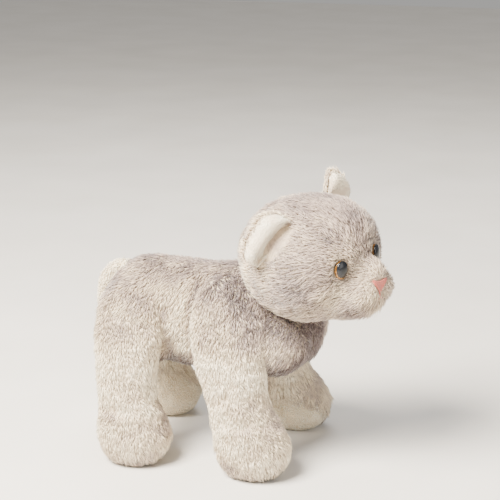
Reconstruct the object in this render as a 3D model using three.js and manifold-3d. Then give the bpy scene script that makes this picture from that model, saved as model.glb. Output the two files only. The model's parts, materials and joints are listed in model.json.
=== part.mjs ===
// A plush cat about 21 cm long that stands on four pellet-weighted paws, its head turned a little to
// its right. Every plush part is built as it is sewn: fabric panels round a filling, with plastic eyes
// locked by washers. Millimetres, +Z up, +X towards the nose, +Y to the cat's left. The origin is under
// the middle of its box.
import * as THREE from "three";
import { LoftGeometry } from "three/addons/geometries/LoftGeometry.js";
import { mergeVertices } from "three/addons/utils/BufferGeometryUtils.js";
import Module from "manifold-3d";

const wasm = await Module();
wasm.setup();

// ---- Driving dimensions ----
const FABRIC = 2.4; // plush fabric with its pile pressed down
const GAP = 0.4; // air between neighbouring pieces
const SIDE = 26; // half the width of the torso between the legs
const BELLY_SEAM_Z = 70; // the belly gusset lies below this height
const RIB = 18; // points round a torso or leg section

const NECK = new THREE.Vector3(40, 0, 111); // where the head turns and nods
const NECK_LEAN = THREE.MathUtils.degToRad(35); // the neck leans forward from upright
const NECK_R = 20;
const NOD_ROOM = THREE.MathUtils.degToRad(17); // wedge of air under the head, for nodding

const HEAD = new THREE.Vector3(67, -7, 138); // centre of the skull
const HEAD_TURN = THREE.MathUtils.degToRad(-17);
const SKULL = [42, 50, 42]; // half length, half width and half height
const SKULL_SQUARE = 2.4; // 2 would make the skull an ellipsoid, more makes it boxier
const HEAD_SEAM_X = -17; // the face panel is sewn to the back panel here, from the skull's centre

const EYE_R = 6;
const EYE_POST_R = 2.4;
// From the skull's centre to each eye, with +Y outwards. The eyes sit a little unevenly.
const EYE_WAY = { right: [38, 22.5, 5], left: [39.5, 17, 8] };
const EYE_DEPTH = 5; // the washer pulls the eye this far into the face
const EYE_DISH_R = 20; // and makes a hollow this round

const EAR_BASE_TOP = [1, 30, 33]; // ends of the line each ear folds about, from the skull's centre
const EAR_BASE_LOW = [-18, 42, 3];
const EAR_WAY = [-0.62, 0.5, 0.6]; // the way the ear stands out of the head
const EAR_HEIGHT = 26;
const EAR_LEAN = 13; // the tip lies this far towards the top end of the base
const EAR_CUP_R = 34;
const EAR_ROOM = 2.2; // air between the ear and the skull, so that it can fold
const EAR_ROOT = 5;

const FRONT_LEG_X = 22; // hinge line of the front legs
const HIND_LEG_X = -50;
const SOLE_TILT = THREE.MathUtils.degToRad(32); // the soles look inwards as the legs splay
const SOLE_SEAM = 11; // from the paw's centre to the seam of its sole
const BEAN_TOP = 34; // the pellets fill each paw up to this height
const PAW = { z: 22, y: 46 }; // height and side distance of each paw's centre
// How far each paw stands in front of its hinge.
const STANCE = { front_right: 18.5, front_left: 22, hind_right: 8, hind_left: -2 };
// How far behind the line from hinge to paw each ankle lies, and how much slimmer the ankles are.
const ANKLE_BACK = { front_right: -4, front_left: -2, hind_right: 1.5, hind_left: 10 };
const ANKLE_SLIM = { front: 0.04, hind: 0.18 };
const ANKLE_Z = 45;
const ANKLE_SPAN = 19;

const TAIL_ROOT = [-69, 0, 121];
const TAIL_ROOT_R = 7;

// ---- Materials ----
const cloth = (color) => new THREE.MeshStandardMaterial({ color, roughness: 0.95, metalness: 0 });
const plastic = (color) => new THREE.MeshStandardMaterial({ color, roughness: 0.15, metalness: 0 });
const PLUSH = cloth(0xb9b0aa);
const CREAM = cloth(0xe9dfca);
const FILLING = cloth(0xf4f3ee);
const BEAN_BAG = cloth(0xd8d2c2);
const THREAD = cloth(0xdd8f86);
const AMBER = plastic(0xc98a1e);
const BLACK = plastic(0x0c0c0e);
const WASHER = plastic(0xe4e4e0);

// ---- Geometry helpers ----
function solid(geometry) {
  const bare = new THREE.BufferGeometry();
  bare.setAttribute("position", geometry.getAttribute("position"));
  bare.setIndex(geometry.getIndex());
  const merged = mergeVertices(bare, 1e-3);
  const vertProperties = merged.attributes.position.array;
  const triVerts = new Uint32Array(merged.index.array);
  return new wasm.Manifold(new wasm.Mesh({ numProp: 3, vertProperties, triVerts }));
}

function geometryOf(body) {
  const mesh = body.getMesh();
  const geometry = new THREE.BufferGeometry();
  geometry.setAttribute("position", new THREE.BufferAttribute(mesh.vertProperties, mesh.numProp));
  geometry.setIndex(new THREE.BufferAttribute(mesh.triVerts, 1));
  return geometry;
}

function ball(centre, radii, across = 20, down = 12, square = 2) {
  const [rx, ry, rz] = Array.isArray(radii) ? radii : [radii, radii, radii];
  const geometry = new THREE.SphereGeometry(1, across, down).rotateX(Math.PI / 2);
  const place = geometry.getAttribute("position");
  for (let i = 0; i < place.count; i++) {
    const at = [place.getX(i), place.getY(i), place.getZ(i)];
    const stretch = at.reduce((sum, v) => sum + Math.abs(v) ** square, 0) ** (-1 / square);
    place.setXYZ(i, ...at.map((v) => v * stretch));
  }
  return solid(geometry.scale(rx, ry, rz).translate(...centre));
}

function block(low, high) {
  const size = low.map((v, i) => high[i] - v);
  const middle = low.map((v, i) => (high[i] + v) / 2);
  return solid(new THREE.BoxGeometry(...size).translate(...middle));
}

// Everything on the side of a plane that its normal points to.
function beyond(point, normal) {
  const big = 400;
  const turn = new THREE.Quaternion().setFromUnitVectors(
    new THREE.Vector3(0, 0, 1),
    new THREE.Vector3(...normal).normalize(),
  );
  const geometry = new THREE.BoxGeometry(big, big, big).translate(0, 0, big / 2);
  return solid(geometry.applyQuaternion(turn).translate(...point));
}

// A body turned round the line that leaves point along direction. The profile is a list of [radius, height].
function turned(profile, point, direction, around = 20) {
  const points = profile.map(([r, h]) => new THREE.Vector2(r, h));
  const turn = new THREE.Quaternion().setFromUnitVectors(
    new THREE.Vector3(0, 1, 0),
    new THREE.Vector3(...direction).normalize(),
  );
  const geometry = new THREE.LatheGeometry(points, around);
  return solid(geometry.applyQuaternion(turn).translate(...point));
}

// An oval section in the plane at `at`, spanned by the unit vectors across and up.
function oval(at, across, up, halfWidth, halfHeight, count) {
  return Array.from({ length: count }, (_, i) => {
    const a = (2 * Math.PI * i) / count;
    return new THREE.Vector3(...at)
      .addScaledVector(across, Math.cos(a) * halfWidth)
      .addScaledVector(up, Math.sin(a) * halfHeight);
  });
}

const AXIS_X = new THREE.Vector3(1, 0, 0);
const AXIS_Y = new THREE.Vector3(0, 1, 0);
const AXIS_Z = new THREE.Vector3(0, 0, 1);
const closedLoft = (sections) => solid(new LoftGeometry(sections, { capStart: true, capEnd: true }));

// ---- Torso ----
// Each station: place along X, height of the middle, half width, half height.
const TORSO = [
  [-71, 98, 13, 15],
  [-67, 97.5, 22, 24],
  [-58, 97, 29, 31],
  [-40, 95, 31, 35],
  [-12, 94, 31, 35],
  [18, 94.5, 31, 34],
  [40, 91, 29, 32],
  [59, 86, 23, 26],
  [68, 81, 12, 14],
];
const neckAxis = new THREE.Vector3(Math.sin(NECK_LEAN), 0, Math.cos(NECK_LEAN));

function torsoSolid(inset) {
  const last = TORSO.length - 1;
  const sections = TORSO.map(([x, z, halfWidth, halfHeight], i) => {
    const drawnIn = i === 0 ? inset : i === last ? -inset : 0;
    const at = [x + drawnIn, 0, z];
    return oval(at, AXIS_Y, AXIS_Z, halfWidth - inset, halfHeight - inset, RIB);
  });
  const between = block([-200, -SIDE + inset, 0], [200, SIDE - inset, 200]);
  return closedLoft(sections)
    .intersect(between)
    .subtract(beyond(NECK.clone().addScaledVector(neckAxis, -inset), neckAxis))
    .subtract(ball(NECK, NECK_R + GAP + inset))
    .subtract(ball(TAIL_ROOT, TAIL_ROOT_R + GAP + inset, 14, 8));
}

function torsoNodes() {
  const cover = torsoSolid(0).subtract(torsoSolid(FABRIC));
  const aboveSeam = beyond([0, 0, BELLY_SEAM_Z + GAP / 2], [0, 0, 1]);
  const bagRoom = [
    [-46, -18, 0],
    [22, 18, BELLY_SEAM_Z + 8],
  ];
  const bag = bagRoom.map((corner, i) => corner.map((v) => v + (i ? -GAP : GAP)));
  const upper = cover.intersect(aboveSeam);
  return {
    torso_cover_right: [upper.intersect(beyond([0, -GAP / 2, 0], [0, -1, 0])), PLUSH],
    torso_cover_left: [upper.intersect(beyond([0, GAP / 2, 0], [0, 1, 0])), PLUSH],
    belly_gusset: [cover.intersect(beyond([0, 0, BELLY_SEAM_Z - GAP / 2], [0, 0, -1])), PLUSH],
    torso_stuffing: [torsoSolid(FABRIC + GAP).subtract(block(...bagRoom)), FILLING],
    torso_pellet_bag: [torsoSolid(FABRIC + 2 * GAP).intersect(block(...bag)), BEAN_BAG],
  };
}

// ---- Neck ----
function neckNodes() {
  const band = 12; // half the height of the neck's fabric band
  const down = neckAxis.clone().negate();
  const neckCover = ball(NECK, NECK_R)
    .subtract(ball(NECK, NECK_R - FABRIC))
    .subtract(beyond(NECK.clone().addScaledVector(neckAxis, band), neckAxis))
    .subtract(beyond(NECK.clone().addScaledVector(down, band), down));
  return {
    neck_cover: [neckCover, PLUSH],
    neck_stuffing: [ball(NECK, NECK_R - FABRIC - GAP), FILLING],
  };
}

// ---- Head, in its own frame: origin at the skull's centre, +X towards the nose ----
const headMatrix = new THREE.Matrix4()
  .makeRotationZ(HEAD_TURN)
  .setPosition(HEAD);
const intoHead = headMatrix.clone().invert();
const neckInHead = NECK.clone().applyMatrix4(intoHead);
const neckAxisInHead = neckAxis.clone().transformDirection(intoHead);
const SIDES = { right: -1, left: 1 };
const mirrored = (point, side) => new THREE.Vector3(point[0], side * point[1], point[2]);

// Where an eye sits in its hollow, and the way it looks, square to the skull.
function eyeSeat(side) {
  const n = SKULL_SQUARE;
  const way = side === SIDES.right ? EYE_WAY.right : EYE_WAY.left;
  const ratio = way.map((v, i) => v / SKULL[i]);
  const reach = ratio.reduce((sum, v) => sum + v ** n, 0) ** (1 / n);
  const out = mirrored(ratio.map((v, i) => v ** (n - 1) / SKULL[i]), side).normalize();
  const at = mirrored(way, side).divideScalar(reach).addScaledVector(out, -EYE_DEPTH);
  return { at, out };
}

// A round bar along the eye's post, from one distance to another.
function eyeBar(side, radius, from, to) {
  const { at, out } = eyeSeat(side);
  return turned([[0, from], [radius, from], [radius, to], [0, to]], at, out, 12);
}

const skullSolid = (grow) => ball([0, 0, 0], SKULL.map((r) => r + grow), 24, 14, SKULL_SQUARE);

function headSolid(inset) {
  let head = skullSolid(-inset);
  head = head.add(ball([37, 0, -22], [16.5, 15, 12].map((r) => r - inset), 14, 8));
  for (const side of Object.values(SIDES)) {
    const { at, out } = eyeSeat(side);
    head = head.add(ball([39, side * 14, -14], 16.5 - inset, 14, 8));
    head = head.subtract(ball(at.addScaledVector(out, EYE_DISH_R), EYE_DISH_R + inset, 16, 10));
  }
  const reach = 150;
  const underHead = [[0, -reach], [reach, -reach], [reach, reach * Math.tan(NOD_ROOM) + inset], [0, inset]];
  return head
    .subtract(turned(underHead, neckInHead, neckAxisInHead, 24))
    .subtract(ball(neckInHead, NECK_R + GAP + inset));
}

// A patch of thread lying on the face, cut from an outline drawn in the plane across the nose.
function onFace(outline) {
  const depth = 80;
  const shape = new THREE.Shape(outline.map(([y, z]) => new THREE.Vector2(y, z)));
  const geometry = new THREE.ExtrudeGeometry(shape, { depth, bevelEnabled: false });
  const lookForward = new THREE.Matrix4().makeBasis(AXIS_Y, AXIS_Z, AXIS_X);
  const prism = solid(geometry.applyMatrix4(lookForward));
  return prism.intersect(headSolid(-1.6)).subtract(headSolid(-GAP));
}

// A safety eye: an amber button with its post, a black pupil set in it, and the washer that locks the post.
function eyeNodes(side, name) {
  const { at, out } = eyeSeat(side);
  const post = EYE_POST_R;
  const rim = [[0, -9], [post, -9], [post, 1.6], [EYE_R, 1.6], [EYE_R, 2.6], [5.5, 3.6]];
  const dome = [...rim, [4.6, 4.4], [4.6, 3.4], [0, 3.4]];
  const pupil = [[0, 3.8], [4.2, 3.8], [4.2, 4.7], [3, 5.3], [1.5, 5.8], [0, 5.9]];
  const hole = post + GAP;
  const washer = [[hole, -4.6], [hole, -6], [6.5, -6], [6.5, -4.6], [hole, -4.6]];
  return {
    [`${name}_eye_button`]: [turned(dome, at, out, 20), AMBER],
    [`${name}_eye_pupil`]: [turned(pupil, at, out, 14), BLACK],
    [`${name}_eye_washer`]: [turned(washer, at, out, 14), WASHER],
  };
}

function headNodes() {
  let cover = headSolid(0).subtract(headSolid(FABRIC));
  let stuffing = headSolid(FABRIC + GAP);
  for (const side of Object.values(SIDES)) {
    cover = cover.subtract(eyeBar(side, EYE_POST_R + GAP, -12, 12));
    stuffing = stuffing.subtract(eyeBar(side, 7, -10, 12));
  }
  // Outlines of the nose and the mouth, drawn as across and up from the skull's centre.
  const nose = [[-8, -3], [8, -3], [4.5, -8], [1.2, -13], [-1.2, -13], [-4.5, -8]];
  const halfMouth = [[0.6, -14], [0.6, -20], [6, -23], [5.5, -24.2]];
  const otherHalf = halfMouth.map(([y, z]) => [-y, z]).reverse();
  const mouth = [...halfMouth, [0, -21.6], ...otherHalf];
  return {
    head_face_cover: [cover.intersect(beyond([HEAD_SEAM_X + GAP / 2, 0, 0], [1, 0, 0])), PLUSH],
    head_back_cover: [cover.intersect(beyond([HEAD_SEAM_X - GAP / 2, 0, 0], [-1, 0, 0])), PLUSH],
    head_stuffing: [stuffing, FILLING],
    nose_embroidery: [onFace(nose.reverse()), THREAD],
    mouth_stitch: [onFace(mouth.reverse()), THREAD],
    ...eyeNodes(SIDES.right, "right"),
    ...eyeNodes(SIDES.left, "left"),
  };
}

// ---- Ears, in the head's frame ----
// An ear stands on a line along the seam of the skull, and is cupped round a ball in front of it.
function earNodes(side, name) {
  const top = mirrored(EAR_BASE_TOP, side);
  const low = mirrored(EAR_BASE_LOW, side);
  const middle = top.clone().lerp(low, 0.5);
  const across = top.clone().sub(low).normalize();
  const upward = mirrored(EAR_WAY, side);
  upward.addScaledVector(across, -upward.dot(across)).normalize();
  const forward = across.clone().cross(upward).multiplyScalar(-side);
  const half = top.distanceTo(low) / 2;
  const outline = new THREE.Shape();
  outline.moveTo(-half, -EAR_ROOT);
  outline.lineTo(half, -EAR_ROOT);
  outline.bezierCurveTo(half + 3, EAR_HEIGHT * 0.6, EAR_LEAN + 9, EAR_HEIGHT, EAR_LEAN, EAR_HEIGHT);
  outline.bezierCurveTo(EAR_LEAN - 9, EAR_HEIGHT, -half - 2, EAR_HEIGHT * 0.7, -half, -EAR_ROOT);
  const prism = new THREE.ExtrudeGeometry(outline, { depth: 40, bevelEnabled: false, curveSegments: 7 });
  // The outline is drawn with the axes across and upward, and pushed the way their cross product points.
  const push = across.clone().cross(upward);
  prism.translate(0, 0, -20).applyMatrix4(new THREE.Matrix4().makeBasis(across, upward, push));
  const leaf = solid(prism.translate(...middle));
  const cupAt = middle.clone().addScaledVector(forward, EAR_CUP_R).addScaledVector(upward, EAR_HEIGHT / 2);
  const skull = skullSolid(EAR_ROOM);
  const layer = (inner, outer) =>
    leaf.intersect(ball(cupAt, outer, 40, 24)).subtract(ball(cupAt, inner, 40, 24)).subtract(skull);
  return {
    [`${name}_ear_lining`]: [layer(EAR_CUP_R, EAR_CUP_R + 1.6), CREAM],
    [`${name}_ear_back`]: [layer(EAR_CUP_R + 1.6 + GAP, EAR_CUP_R + 1.6 + GAP + FABRIC), PLUSH],
  };
}

// ---- Legs ----
// Each station: height, share of the stance that it stands forward, distance out from the centre plane,
// half length and half width.
const LEG = [
  [114, 0, 34, 10, 5],
  [109, 0, 34, 18, 8],
  [99, 0, 35, 23, 11],
  [86, 0.03, 37, 24, 14],
  [70, 0.11, 39, 23.5, 16.5],
  [54, 0.27, 41.5, 23, 18.5],
  [41, 0.54, 44, 23, 20],
  [30, 0.81, 45.5, 24.5, 22],
  [20, 0.97, 46, 26, 23.5],
  [10, 1, 46, 25, 22.5],
  [3, 1, 46, 20, 17.5],
  [0, 1, 46, 15, 13],
];

function legSolid(name, hingeX, side, inset) {
  const slim = name.startsWith("front") ? ANKLE_SLIM.front : ANKLE_SLIM.hind;
  const sections = LEG.map(([z, share, y, halfLength, halfWidth], i) => {
    const drawnIn = i === 0 ? -inset : i === LEG.length - 1 ? inset : 0;
    const ankle = Math.exp(-(((z - ANKLE_Z) / ANKLE_SPAN) ** 2));
    const x = hingeX + share * STANCE[name] - ankle * ANKLE_BACK[name];
    const length = halfLength * (1 - slim * ankle) - inset;
    return oval([x, side * y, z + drawnIn], AXIS_X, AXIS_Y, length, halfWidth - inset, RIB);
  });
  return closedLoft(sections.reverse()).intersect(beyond([0, side * (SIDE + GAP + inset), 0], [0, side, 0]));
}

function legNodes(name) {
  const hingeX = name.startsWith("front") ? FRONT_LEG_X : HIND_LEG_X;
  const side = name.endsWith("right") ? SIDES.right : SIDES.left;
  const legAt = (inset) => legSolid(name, hingeX, side, inset);
  const cover = legAt(0).subtract(legAt(FABRIC));
  const filling = legAt(FABRIC + GAP);
  const paw = new THREE.Vector3(hingeX + STANCE[name], side * PAW.y, PAW.z);
  const soleWay = new THREE.Vector3(0, -side * Math.sin(SOLE_TILT), -Math.cos(SOLE_TILT));
  const belowSeam = (depth) => beyond(paw.clone().addScaledVector(soleWay, depth), soleWay);
  const upper = cover.subtract(belowSeam(SOLE_SEAM - GAP / 2));
  const outward = new THREE.Vector3(0, side * Math.cos(0.17), Math.sin(0.17));
  const outside = (gap) => beyond(paw.clone().addScaledVector(outward, gap), outward);
  const aboveBeans = beyond([0, 0, BEAN_TOP], AXIS_Z);
  return {
    [`${name}_leg_outer_panel`]: [upper.intersect(outside(GAP / 2)), PLUSH],
    [`${name}_leg_inner_panel`]: [upper.subtract(outside(-GAP / 2)), PLUSH],
    [`${name}_paw_sole`]: [cover.intersect(belowSeam(SOLE_SEAM + GAP / 2)), CREAM],
    [`${name}_leg_stuffing`]: [filling.intersect(beyond([0, 0, BEAN_TOP + GAP], AXIS_Z)), FILLING],
    [`${name}_paw_pellets`]: [filling.subtract(aboveBeans), BEAN_BAG],
  };
}

// ---- Tail ----
const TAIL_PATH = [
  TAIL_ROOT,
  [-79, 0, 116],
  [-81.5, 2, 101],
  [-80, 4, 86],
  [-79, 7, 71],
  [-81, 10, 58],
  [-84, 12, 47],
];
const TAIL_R = 6;

function tailSolid(inset, rootReach) {
  const curve = new THREE.CatmullRomCurve3(TAIL_PATH.map((p) => new THREE.Vector3(...p)));
  const steps = 14;
  const sections = [];
  for (let i = 0; i <= steps; i++) {
    const t = i / steps;
    const at = curve.getPoint(t);
    const along = curve.getTangent(t);
    if (i === 0) at.addScaledVector(along, -rootReach);
    const across = new THREE.Vector3().crossVectors(AXIS_X, along).normalize();
    const up = new THREE.Vector3().crossVectors(along, across);
    const taper = Math.sqrt(Math.max(0.12, 1 - Math.pow(t, 8)));
    if (i === steps) at.addScaledVector(along, -inset);
    sections.push(oval(at.toArray(), across, up, TAIL_R * taper - inset, TAIL_R * taper - inset, 10));
  }
  return closedLoft(sections);
}

function tailNodes() {
  const inset = 1.6;
  const cover = tailSolid(0, 0).add(ball(TAIL_ROOT, TAIL_ROOT_R, 14, 8)).subtract(tailSolid(inset, 12));
  return {
    tail_cover: [cover, CREAM],
    tail_stuffing: [tailSolid(inset + GAP, 3), FILLING],
  };
}

// ---- Assembly ----
function groupOf(nodes) {
  const group = new THREE.Group();
  for (const [name, [body, material]] of Object.entries(nodes)) {
    const mesh = new THREE.Mesh(geometryOf(body), material);
    mesh.name = name;
    group.add(mesh);
  }
  return group;
}

const head = groupOf({ ...headNodes(), ...earNodes(-1, "right"), ...earNodes(1, "left") });
head.position.copy(HEAD);
head.rotation.z = HEAD_TURN;

const cat = new THREE.Group();
cat.add(groupOf(torsoNodes()), groupOf(neckNodes()), groupOf(tailNodes()), head);
for (const name of Object.keys(STANCE)) cat.add(groupOf(legNodes(name)));

// The frame's origin is the middle of the cat's box, on the ground.
const extent = new THREE.Box3().setFromObject(cat, true);
const middle = extent.getCenter(new THREE.Vector3());
cat.position.set(-middle.x, -middle.y, -extent.min.z);

export default cat;
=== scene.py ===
"""The looks of a small standing plush cat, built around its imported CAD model.

Shapes are worked out in millimetres from the toy's own zero, on the floor under its belly: +X to the nose
and +Y to the cat's left. Points on the face are in the head's own frame. place() and place_on_head() turn
both into the row frame.
"""

import json
import math

import bpy
import numpy as np
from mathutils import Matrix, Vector
from mathutils.bvhtree import BVHTree


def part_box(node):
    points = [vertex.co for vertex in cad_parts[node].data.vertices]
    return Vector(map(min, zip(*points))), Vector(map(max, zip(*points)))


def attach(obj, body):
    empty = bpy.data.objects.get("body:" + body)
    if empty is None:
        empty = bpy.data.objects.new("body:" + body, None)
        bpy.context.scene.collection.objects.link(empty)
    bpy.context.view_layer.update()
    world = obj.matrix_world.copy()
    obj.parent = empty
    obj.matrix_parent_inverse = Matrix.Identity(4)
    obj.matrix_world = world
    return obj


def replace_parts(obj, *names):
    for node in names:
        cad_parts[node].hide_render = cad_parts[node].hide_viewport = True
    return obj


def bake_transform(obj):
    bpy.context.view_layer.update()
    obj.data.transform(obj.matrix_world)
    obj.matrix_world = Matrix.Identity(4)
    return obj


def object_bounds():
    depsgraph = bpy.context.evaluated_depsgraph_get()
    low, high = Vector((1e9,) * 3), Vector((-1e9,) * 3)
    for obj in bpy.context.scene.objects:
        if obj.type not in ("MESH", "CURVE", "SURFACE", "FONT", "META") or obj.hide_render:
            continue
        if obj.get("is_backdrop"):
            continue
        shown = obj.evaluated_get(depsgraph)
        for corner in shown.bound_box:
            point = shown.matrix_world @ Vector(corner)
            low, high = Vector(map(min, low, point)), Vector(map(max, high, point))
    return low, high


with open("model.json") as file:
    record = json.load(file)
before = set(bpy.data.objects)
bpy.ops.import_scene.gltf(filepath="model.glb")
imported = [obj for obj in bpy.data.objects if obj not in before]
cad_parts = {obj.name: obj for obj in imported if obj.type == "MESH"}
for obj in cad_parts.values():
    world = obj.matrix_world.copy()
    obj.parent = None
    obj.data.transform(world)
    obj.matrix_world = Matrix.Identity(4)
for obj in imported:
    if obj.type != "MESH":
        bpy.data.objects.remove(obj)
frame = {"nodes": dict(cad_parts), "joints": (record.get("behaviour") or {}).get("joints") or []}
cad_low, cad_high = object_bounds()

MM = 0.001
SEED = 20

# ---- measures, in millimetres and degrees

NECK = (40, 0, 111)  # the middle of the neck, on the axis of neck_turn
HEAD = (67, -7, 138)
HEAD_TURN = -17
SKULL = (42, 50, 42)  # half sizes
SKULL_SQUARE = 2.4  # 2 would be an ellipsoid
HEAD_SEAM_X = -17  # where the face panel meets the back panel

PILE = 5.6  # length of the plush pile
PILE_WIDTH = 0.8
ROOT_SHADE = 0.7  # how many tones a tuft's root is darker than its tip
PILE_ROOM = 1.7  # how far the skin lies under the measured outline, to leave room for the pile
SOLE_NAP = 1.5
EAR_NAP = 0.9
TAIL_NAP = 2.6
FLOOR_GAP = 0.4  # how far the skins and tufts stay above the floor
PRESSURE = 4.0  # of the stuffing, in the cloth simulation
CLOTH_FRAMES = 20

# How square the sections are: 2 would be an oval.
TORSO_SQUARE = 2.15
LEG_SQUARE = 2.1
SHOULDER_SQUARE = 2.7  # of a front leg's sections above SHOULDER_Z
SHOULDER_Z = 80
# Body sections from rump to chest: x, middle height, half width, half height.
TORSO = (
    (-79, 89, 10, 11), (-76, 89, 18, 19), (-70, 91, 25, 27), (-62, 94, 29.5, 32), (-50, 95.5, 32, 35.5),
    (-20, 92.8, 31, 37.7), (0, 91.3, 31, 38.7), (20, 93, 33, 38.5), (40, 94, 34, 35), (56, 90, 30, 28.5),
    (67, 86, 21, 20), (73, 84, 11, 11),
)
# Stuffing that rounds the torso out towards the legs: middle and half sizes, for both sides.
TORSO_LUMPS = (((46, 22, 85), (27, 24, 25)), ((-48, 21, 89), (30, 25, 33)))
BELLY_SEAM = ((-60, 14, 66), (-30, 14, 66), (0, 14, 66), (30, 14, 66))
# The folds where the torso meets the back of a shoulder and the front of a haunch, sewn in and lined with
# painted shade, with a painted highlight on the shoulder's edge: x, distance from the middle, height.
SHOULDER_FOLD = ((-3, 22, 121), (-7.5, 31, 109), (-7.5, 33, 97), (-6, 33, 86), (-3, 31, 70))
HAUNCH_FOLD = ((-27, 34, 104), (-26, 35, 94), (-24, 34, 84), (-23, 31, 73))
# Leg sections from paw to hip: height, share of the stance, y, half length, half width.
LEG = (
    (0, 1, 46, 14, 12), (4, 1, 46, 20, 18), (11, 1, 46, 24.5, 22), (20, 0.97, 46, 26.5, 23.5),
    (30, 0.81, 45.5, 25.5, 22.5), (41, 0.54, 44, 24, 20.5), (54, 0.27, 41.5, 24, 19.5),
)
SHOULDER = (
    (70, 0.11, 41, 26, 16.5), (86, 0.03, 40, 27.5, 13), (99, 0, 37, 28.5, 10.5), (110, -0.12, 31, 26, 10),
    (119, -0.2, 22, 21, 9), (124, -0.25, 11, 12, 5),
)
HAUNCH = (
    (70, 0.11, 39, 23, 18), (86, 0.03, 35, 25, 15), (98, 0, 30, 23, 13), (107, 0, 26, 18, 10),
    (113, 0, 24, 11, 6),
)
PAW_Y = 46
PAW_Z = 22
# How far behind the line from hip to paw each ankle lies, and how much slimmer the ankles are.
ANKLE_BACK = {"front_right": -0.6, "front_left": -2, "hind_right": 1.5, "hind_left": 10}
ANKLE_SLIM = {"front": 0.06, "hind": 0.18}
ANKLE_Z = 45
ANKLE_SPAN = 19
FOLDS = {"front": (39, 55), "hind": (40, 60)}  # heights of the folds in each leg's fabric
# The line of such a fold round the outside of a leg: forwards, outwards and up from the leg's middle.
LEG_FOLD = ((20, 12, 5), (12, 16, 1.5), (5, 19, 3), (-3, 19, -1), (-13, 16, 1))
ARM_CREASE = ((35, -60, 76), (41, -59, 64), (46, -57, 51))  # down the front of the right foreleg
HIPS = {"front": 22, "hind": -50}
STANCE = {"front_right": 18.5, "front_left": 22, "hind_right": 8, "hind_left": -2}
LEG_BEND = (108, 62)  # heights between which a leg's fabric goes over from the torso to the leg; nothing uses the points made from them
# The way that each sole looks: forwards, inwards and down.
SOLE_WAY = {
    "front_right": (0, 0.53, 0.85), "front_left": (0, 0.66, 0.75), "hind_right": (0, 0.66, 0.75),
    "hind_left": (0.42, 0.72, 0.55),
}
# How far from the middle of a paw its sole begins.
SOLE_SEAM = {"front_right": 11, "front_left": 10, "hind_right": 11, "hind_left": 7}
SOLE_LIFT = 0.5  # of the pad's top over the skin of the paw
SOLE_THICK = 1.2

NECK_BALL = (27, 27, 27)
TAIL = (
    (-61, -3, 121), (-70, -4, 118.5), (-76, -4, 110.5), (-78.5, -2, 100), (-80, 2, 86), (-80.5, 5, 71),
    (-82, 9, 58), (-84, 12, 47),
)
TAIL_R = 6.1  # of its skin, under the nap

# The fullness of the face, in the head's frame: middle and half sizes. The muzzle is one of two.
MUZZLE = ((42, 10, -13.5), (15, 13.5, 12.5))
CHIN = ((28, 0, -19), (27, 28, 19))
BRIDGE = ((39, 3, -3), (16, 13, 11))
JAW_Z = -10  # below this height the head is flatter, by the next share
JAW_FLAT = 0.12
TUCK = 4.5  # how far the lower back of the head is drawn in, towards the neck
CHEEK_FOLD = ((12, -44, -6), (20, -42, -8.5), (28, -38, -7))
MOUTH_FOLD = ((57, 0, -14), (55, 0, -22), (51, 0, -27))
# Half outlines of an eye from behind to in front: radius, height. The lens's radii are shares of the pupil's.
EYE_DOME = (
    (0, -2.5), (5, -2.5), (5.9, -1.9), (6.0, -1.2), (5.8, -0.6), (5.2, -0.1), (4.4, 0.35), (3, 0.85),
    (1.5, 1.15), (0, 1.25),
)
EYE_LENS = (
    (0, -0.8), (0.9, -0.8), (1, -0.25), (0.97, 0.45), (0.85, 0.95), (0.65, 1.3), (0.4, 1.55), (0.2, 1.65),
    (0, 1.68),
)
SIDES = {"right": -1, "left": 1}  # the sign of Y on each side
# The way out through the skull that gives each eye its direction.
EYE_WAY = {"right": (38, 22.5, 5), "left": (39.5, 17, 8)}
EYE_SQUEEZE = 0.84  # the plush around an eye hides its sides
PUPIL = (4.6, 5.5)  # half width and half height
# How far each pupil sits towards the nose and up from the middle of the amber.
PUPIL_OFF = {"right": (-0.2, 0.6), "left": (0.4, 0.1)}
EYE_DROP = 1.6  # how far the eyes sit below the CAD ones
EYE_DENT = 3.2  # how far the post of an eye draws the skin in
EYE_DENT_WIDTH = 7
EYE_BARE = {"right": 5.5, "left": 4.5}  # how far from its middle the pile round each eye starts
NOSE = (-1.2, -9.1)  # its middle, across and up in the head's frame
NOSE_SIZE = (16, 7.5)
NOSE_STITCHES = 15
THREAD_R = 0.45
NOSE_LIFT = 1.3  # of the threads' middles over the skin of the face
MOUTH_LIFT = 0.8
MOUTH_TOP = -11  # heights of the upright stitch and of the lips under it, in the head's frame
MOUTH_LOW = -17

EAR_FABRIC = 0.9  # thickness of an ear's lining and of its back
# The front of an ear from its base to its rim, and its back from the rim to the base: share of the height,
# and how far forward.
EAR_FRONT = ((0.0, 1.0), (0.12, -1.5), (0.3, -1.5), (0.42, 2.6), (0.6, 6.4), (0.85, 5.6), (1.0, 1.0))
PLAIN_FRONT = ((0.0, 0.5), (0.2, 2.4), (0.45, 4.8), (0.7, 6.0), (0.9, 4.6), (1.0, 1.0))
EAR_BACK = ((1.0, 1.0), (1.02, -1.6), (0.85, -3.4), (0.5, -4.2), (0.2, -4.6), (0.0, -4.6))
# Along the base from its top to its low end: share of the way, share of the height, fullness, and how far
# the ear curls forward.
FOLDED = (
    (-0.05, 0.45, 0.15, 0.0), (0.03, 0.85, 0.8, 0.0), (0.18, 1.06, 1.0, 0.0), (0.4, 1.04, 1.0, 0.0),
    (0.6, 0.97, 1.0, 0.3), (0.8, 0.88, 1.0, 1.5), (0.94, 0.76, 0.9, 3.0), (1.05, 0.5, 0.2, 3.5),
)
UPRIGHT = (
    (-0.06, 0.66, 0.2, 0.0), (0.04, 0.93, 0.9, 0.0), (0.25, 1.02, 1.0, 0.0), (0.55, 1.0, 1.0, 0.0),
    (0.82, 0.9, 1.0, 0.0), (1.0, 0.74, 0.9, 0.0), (1.14, 0.45, 0.2, 0.0),
)
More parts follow.
